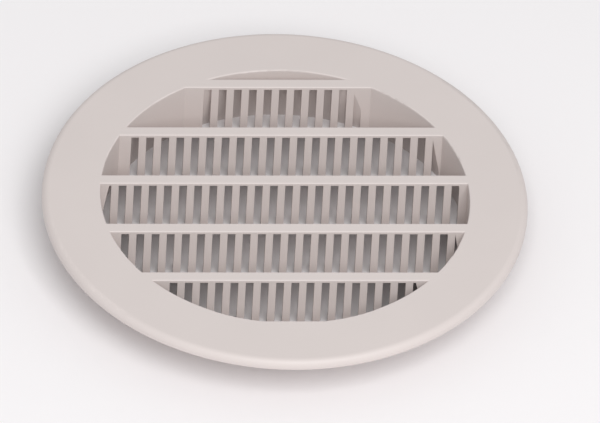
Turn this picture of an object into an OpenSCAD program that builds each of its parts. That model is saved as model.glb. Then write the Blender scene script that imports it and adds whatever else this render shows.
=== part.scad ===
// Round louvred ventilation grille, moulded in one piece.
// +Z leaves the face along the duct's axis. +Y is the side that the rain blades climb to on their
// way in, which is up on a wall. The origin is on the axis, in the plane where the flange's rim
// meets the wall.

/* [Flange] */
// Outer diameter of the flange
flange_d = 125; // [116:1:150]
// Height of the flange's rim, from the wall to the front face
rim_h = 2.4; // [2:0.1:4]
// Thickness of the flange's plate
plate_t = 1.6; // [1.2:0.1:1.9]
// Radius of the flange's rounded front edge
edge_r = 1.8; // [0.4:0.1:2]
// Width of the lip that stands back from the plate along the rim
lip_w = 1.6; // [1:0.1:3]

/* [Collar] */
// Outer diameter of the collar, which pushes into the duct
collar_d = 98; // [90:0.5:104]
// Thickness of the collar's wall at its open end
collar_t = 1.4; // [1:0.1:2]
// Thickness of the collar's wall at its root, level with the face
root_t = 3.85; // [2:0.05:4.5]
// Radius of the fillet where the collar meets the back of the flange
root_r = 0.4; // [0.2:0.1:1]
// Distance that the collar reaches past the foot of the louvre
collar_reach = 0.2; // [0:0.1:10]
// Width of the lead-in chamfer on the collar's end
lead_w = 0.9; // [0.3:0.1:1]
// Length of the lead-in chamfer on the collar's end
lead_l = 1.5; // [0.5:0.1:3]

/* [Opening] */
// Thickness of the collar's wall in front of the risers, from the collar's outside to the opening
mouth_t = 1.5; // [1.2:0.1:6]
// Radius that takes the sharpness off the opening's and the slats' front edges
mouth_r = 0.35; // [0.1:0.05:0.5]

/* [Louvre] */
// Distance from one slat to the next
slat_pitch = 18.2; // [14:0.1:22]
// Width of each slat on the face
slat_w = 3.2; // [2.6:0.1:5]
// Height above the axis of the middle slat's lower edge
slat_shift = 4.55; // [-6:0.05:6]
// Thickness of the slotted risers
riser_t = 1.5; // [1:0.1:2]
// Angle between the rain blades and the face
blade_angle = 43.5; // [35:0.5:50]
// Thickness of the rain blades
blade_t = 1.5; // [1:0.1:2]
// Depth of each slat's upper edge, from the face to its blade
blade_drop = 0.7; // [0.5:0.1:1.5]
// Depth of the web that ties a blade to the next riser's bars
foot_h = 0.5; // [0.4:0.1:2]

/* [Slots] */
// Distance from one slot to the next
slot_pitch = 3.9; // [3:0.1:6]
// Width of each slot
slot_w = 2; // [1:0.05:2.5]
// Sideways place of the slot nearest the axis
slot_shift = 1.3; // [-1.5:0.1:1.5]
// Thickness of the face over the top of each slot
slot_roof = 0.85; // [0.5:0.05:1.2]
// Share of the louvre's depth at which an end slot has to clear the collar's wall
slot_clear = 0.75; // [0.5:0.05:0.9]

/* [Hidden] */
$fn = 96;
grille_colour = [0.83, 0.79, 0.77];
past = 1; // how far a cut runs past the surface that it opens

flange_r = flange_d / 2;
collar_r = collar_d / 2;
opening_r = collar_r - mouth_t;
slope = tan(blade_angle);
blade_drop_t = blade_t / cos(blade_angle); // the blade's thickness, measured along Z
foot_z = -blade_drop - (slat_pitch - slat_w) * slope - foot_h; // the louvre's foot, from the face
end_z = foot_z - collar_reach; // the collar's open end, from the face
edge_margin = 1; // least distance from a slat to the opening's edge
first_slat = ceil((edge_margin - opening_r - slat_shift) / slat_pitch);
last_slat = floor((opening_r - edge_margin - slat_w - slat_shift) / slat_pitch);
slots_each_side = ceil((collar_r + abs(slot_shift)) / slot_pitch);

// Lower edge of slat k, where its riser's front face stands
function slat_y(k) = slat_shift + k * slat_pitch;
// Level of blade k's upper surface at y, from the face
function blade_top(k, y) = -blade_drop - (y - slat_y(k) - slat_w) * slope;
// Level of blade k's lower surface at y, from the face
function blade_under(k, y) = blade_top(k, y) - blade_drop_t;
// Radius of the space behind the risers, which widens towards the collar's open end
function core_r(z) = collar_r - root_t + (root_t - collar_t) * z / end_z;
// Whether a slot through riser k, with its middle at x, opens over enough of its height
function slot_opens(k, x) =
    norm([abs(x) - slot_w / 2, max(abs(slat_y(k)), abs(slat_y(k) + riser_t))])
        < core_r(slot_clear * foot_z);

// A profile in Y and Z, drawn right across the opening along X
module across(length) {
    rotate([90, 0, 90]) linear_extrude(length, center = true) children();
}

// Half section of the flange and the collar, with the louvre's space still solid
module shell_profile() {
    difference() {
        polygon([
            [0, 0], [flange_r, 0], [flange_r, -rim_h], [flange_r - lip_w, -rim_h],
            [flange_r - lip_w, -plate_t], [collar_r + root_r, -plate_t],
            [collar_r + root_r, -plate_t - root_r], [collar_r, -plate_t - root_r],
            [collar_r, end_z + lead_l], [collar_r - lead_w, end_z], [0, end_z]
        ]);
        translate([collar_r + root_r, -plate_t - root_r]) circle(root_r);
        difference() {
            translate([flange_r - edge_r, -edge_r]) square(edge_r + past);
            translate([flange_r - edge_r, -edge_r]) circle(edge_r);
        }
    }
}

// The space in front of the risers, as wide as the opening in the face
module front_space() {
    rotate_extrude() difference() {
        polygon([
            [0, past], [opening_r + mouth_r, past], [opening_r + mouth_r, -mouth_r],
            [opening_r, -mouth_r], [opening_r, end_z], [0, end_z]
        ]);
        translate([opening_r + mouth_r, -mouth_r]) circle(mouth_r);
    }
}

// The space behind the risers
module rear_space() {
    rotate_extrude() polygon([
        [0, 0], [core_r(0), 0], [core_r(end_z - past), end_z - past], [0, end_z - past]
    ]);
}

// Trough in front of riser k, floored by the blade of the slat below it
module front_trough(k) {
    low = slat_y(k - 1) + slat_w;
    high = slat_y(k);
    across(2 * opening_r + past) difference() {
        polygon([
            [low - mouth_r, past], [high + mouth_r, past], [high + mouth_r, -mouth_r],
            [high, -mouth_r], [high, blade_top(k - 1, high)], [low, -blade_drop],
            [low, -mouth_r], [low - mouth_r, -mouth_r]
        ]);
        translate([low - mouth_r, -mouth_r]) circle(mouth_r);
        translate([high + mouth_r, -mouth_r]) circle(mouth_r);
    }
}

// Channel behind riser k, roofed by the blade of its own slat
module rear_channel(k) {
    low = slat_y(k) + riser_t;
    high = slat_y(k) + slat_w + (-blade_drop - blade_drop_t - foot_z) / slope;
    across(2 * collar_r) polygon([
        [low, blade_under(k, low)], [high, foot_z], [high, foot_z - past], [low, foot_z - past]
    ]);
}

// The row of slots through riser k, each closed at the top by the slat and open at the foot
module slot_row(k) {
    for (j = [-slots_each_side : slots_each_side]) {
        x = slot_shift + j * slot_pitch;
        if (slot_opens(k, x))
            translate([x - slot_w / 2, slat_y(k), foot_z - past])
                cube([slot_w, riser_t, past - foot_z - slot_roof]);
    }
}

module grille() {
    color(grille_colour) translate([0, 0, rim_h]) difference() {
        rotate_extrude() shell_profile();
        intersection() {
            front_space();
            union() for (k = [first_slat : last_slat + 1]) front_trough(k);
        }
        intersection() {
            rear_space();
            union() {
                for (k = [first_slat - 1 : last_slat]) rear_channel(k);
                for (k = [first_slat : last_slat]) slot_row(k);
                translate([-collar_r, -collar_r, end_z - past])
                    cube([collar_d, collar_d, foot_z - end_z + past]);
            }
        }
    }
}

grille();
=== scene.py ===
"""Looks of a round louvred ventilation grille, moulded in one piece of off-white plastic."""

import math

import bpy
from mathutils import Matrix, Vector


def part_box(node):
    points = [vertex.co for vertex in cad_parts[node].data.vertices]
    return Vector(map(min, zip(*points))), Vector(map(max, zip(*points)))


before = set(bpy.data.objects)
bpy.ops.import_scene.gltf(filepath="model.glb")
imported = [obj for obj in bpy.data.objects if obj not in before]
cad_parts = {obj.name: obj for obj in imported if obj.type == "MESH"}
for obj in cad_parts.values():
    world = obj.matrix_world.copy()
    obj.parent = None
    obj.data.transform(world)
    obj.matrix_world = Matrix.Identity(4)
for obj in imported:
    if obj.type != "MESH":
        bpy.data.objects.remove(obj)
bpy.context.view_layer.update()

MM = 0.001
FACE_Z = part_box("grille")[1].z
FLOOR_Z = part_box("grille")[0].z

# The photograph's view, in degrees, millimetres and pixels
IMAGE_WIDTH = 600
VIEW_ELEVATION = 42.95
VIEW_AZIMUTH = -4.79
VIEW_ROLL = 3.31
VIEW_DISTANCE = 4590 * MM
VIEW_FOCAL_PX = 17863
AIM_RIGHT = 3.82 * MM
AIM_DOWN = 4.12 * MM
SENSOR_MM = 36.0

# Colours, linear
PLASTIC = (0.655, 0.592, 0.572, 1.0)


def new_material(name):
    """An empty node material, with its node tree and its Principled shader."""
    material = bpy.data.materials.new(name)
    material.use_nodes = True
    tree = material.node_tree
    return material, tree, tree.nodes["Principled BSDF"]


def add(tree, kind, inputs=None, **settings):
    """Adds a node, sets its properties and its inputs, and links any input that is a socket."""
    node = tree.nodes.new(kind)
    for name, value in settings.items():
        setattr(node, name, value)
    for name, value in (inputs or {}).items():
        if isinstance(value, bpy.types.NodeSocket):
            tree.links.new(value, node.inputs[name])
        else:
            node.inputs[name].default_value = value
    return node


def moulded_plastic():
    """Off-white satin plastic with a faint mottle and a fine spark-eroded texture."""
    material, tree, shader = new_material("moulded_plastic")
    place = add(tree, "ShaderNodeTexCoord").outputs["Object"]
    mottle = add(tree, "ShaderNodeTexNoise", {"Vector": place, "Scale": 45.0, "Detail": 3.0})
    tint = add(
        tree,
        "ShaderNodeMix",
        {"Factor": mottle.outputs["Fac"]},
        data_type="RGBA",
    )
    tint.inputs["A"].default_value = [c * 0.97 for c in PLASTIC[:3]] + [1.0]
    tint.inputs["B"].default_value = [c * 1.03 for c in PLASTIC[:3]] + [1.0]
    tree.links.new(tint.outputs["Result"], shader.inputs["Base Color"])
    grain = add(tree, "ShaderNodeTexNoise", {"Vector": place, "Scale": 1800.0, "Detail": 2.0})
    bump = add(
        tree,
        "ShaderNodeBump",
        {"Height": grain.outputs["Fac"], "Strength": 0.25, "Distance": 0.03 * MM},
    )
    tree.links.new(bump.outputs["Normal"], shader.inputs["Normal"])
    shader.inputs["Roughness"].default_value = 0.48
    return material


def dress_grille():
    """Gives the moulding its plastic."""
    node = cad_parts["grille"]
    node.data.materials.clear()
    node.data.materials.append(moulded_plastic())


def make_floor():
    """A plain pale floor that renders white where no shadow falls."""
    bpy.ops.mesh.primitive_plane_add(size=6.0, location=(0, 0, FLOOR_Z))
    floor = bpy.context.object
    floor.name = "floor"
    material, tree, shader = new_material("floor")
    shader.inputs["Base Color"].default_value = (0.9, 0.88, 0.89, 1.0)
    shader.inputs["Roughness"].default_value = 0.9
    floor.data.materials.append(material)


def make_world():
    """A pale studio all round, seen as white."""
    world = bpy.data.worlds.new("studio")
    bpy.context.scene.world = world
    world.use_nodes = True
    tree = world.node_tree
    background = tree.nodes["Background"]
    background.inputs["Color"].default_value = (1.0, 1.0, 1.0, 1.0)
    background.inputs["Strength"].default_value = 0.55


def make_softbox(name, place, size, strength, colour=(1.0, 1.0, 1.0)):
    """A square area light aimed at the grille."""
    light = bpy.data.lights.new(name, "AREA")
    light.shape = "SQUARE"
    light.size = size
    light.energy = strength
    light.color = colour
    lamp = bpy.data.objects.new(name, light)
    lamp.location = place
    lamp.rotation_euler = (Vector((0, 0, 0)) - Vector(place)).to_track_quat("-Z", "Y").to_euler()
    bpy.context.scene.collection.objects.link(lamp)


def make_camera():
    """The photograph's own view: from above the lower edge, turned a little and rolled a little."""
    elevation, azimuth, roll = (math.radians(a) for a in (VIEW_ELEVATION, VIEW_AZIMUTH, VIEW_ROLL))
    back = Vector((
        math.sin(azimuth) * math.cos(elevation),
        -math.cos(azimuth) * math.cos(elevation),
        math.sin(elevation),
    ))
    level_right = Vector((math.cos(azimuth), math.sin(azimuth), 0.0))
    level_up = back.cross(level_right)
    right = level_right * math.cos(roll) + level_up * math.sin(roll)
    up = level_up * math.cos(roll) - level_right * math.sin(roll)
    camera = bpy.data.cameras.new("camera")
    camera.sensor_width = SENSOR_MM
    camera.lens = VIEW_FOCAL_PX * SENSOR_MM / IMAGE_WIDTH
    camera.clip_start = 0.05
    camera.clip_end = 50.0
    holder = bpy.data.objects.new("camera", camera)
    turn = Matrix((right, up, back)).transposed()
    place = Vector((0, 0, FACE_Z)) + back * VIEW_DISTANCE + right * AIM_RIGHT - up * AIM_DOWN
    holder.matrix_world = Matrix.Translation(place) @ turn.to_4x4()
    bpy.context.scene.collection.objects.link(holder)
    bpy.context.scene.camera = holder


bpy.context.scene.view_settings.view_transform = "Standard"
dress_grille()
make_floor()
make_world()
make_softbox("key", (0.15, -0.9, 1.1), 0.9, 14.0)
make_camera()
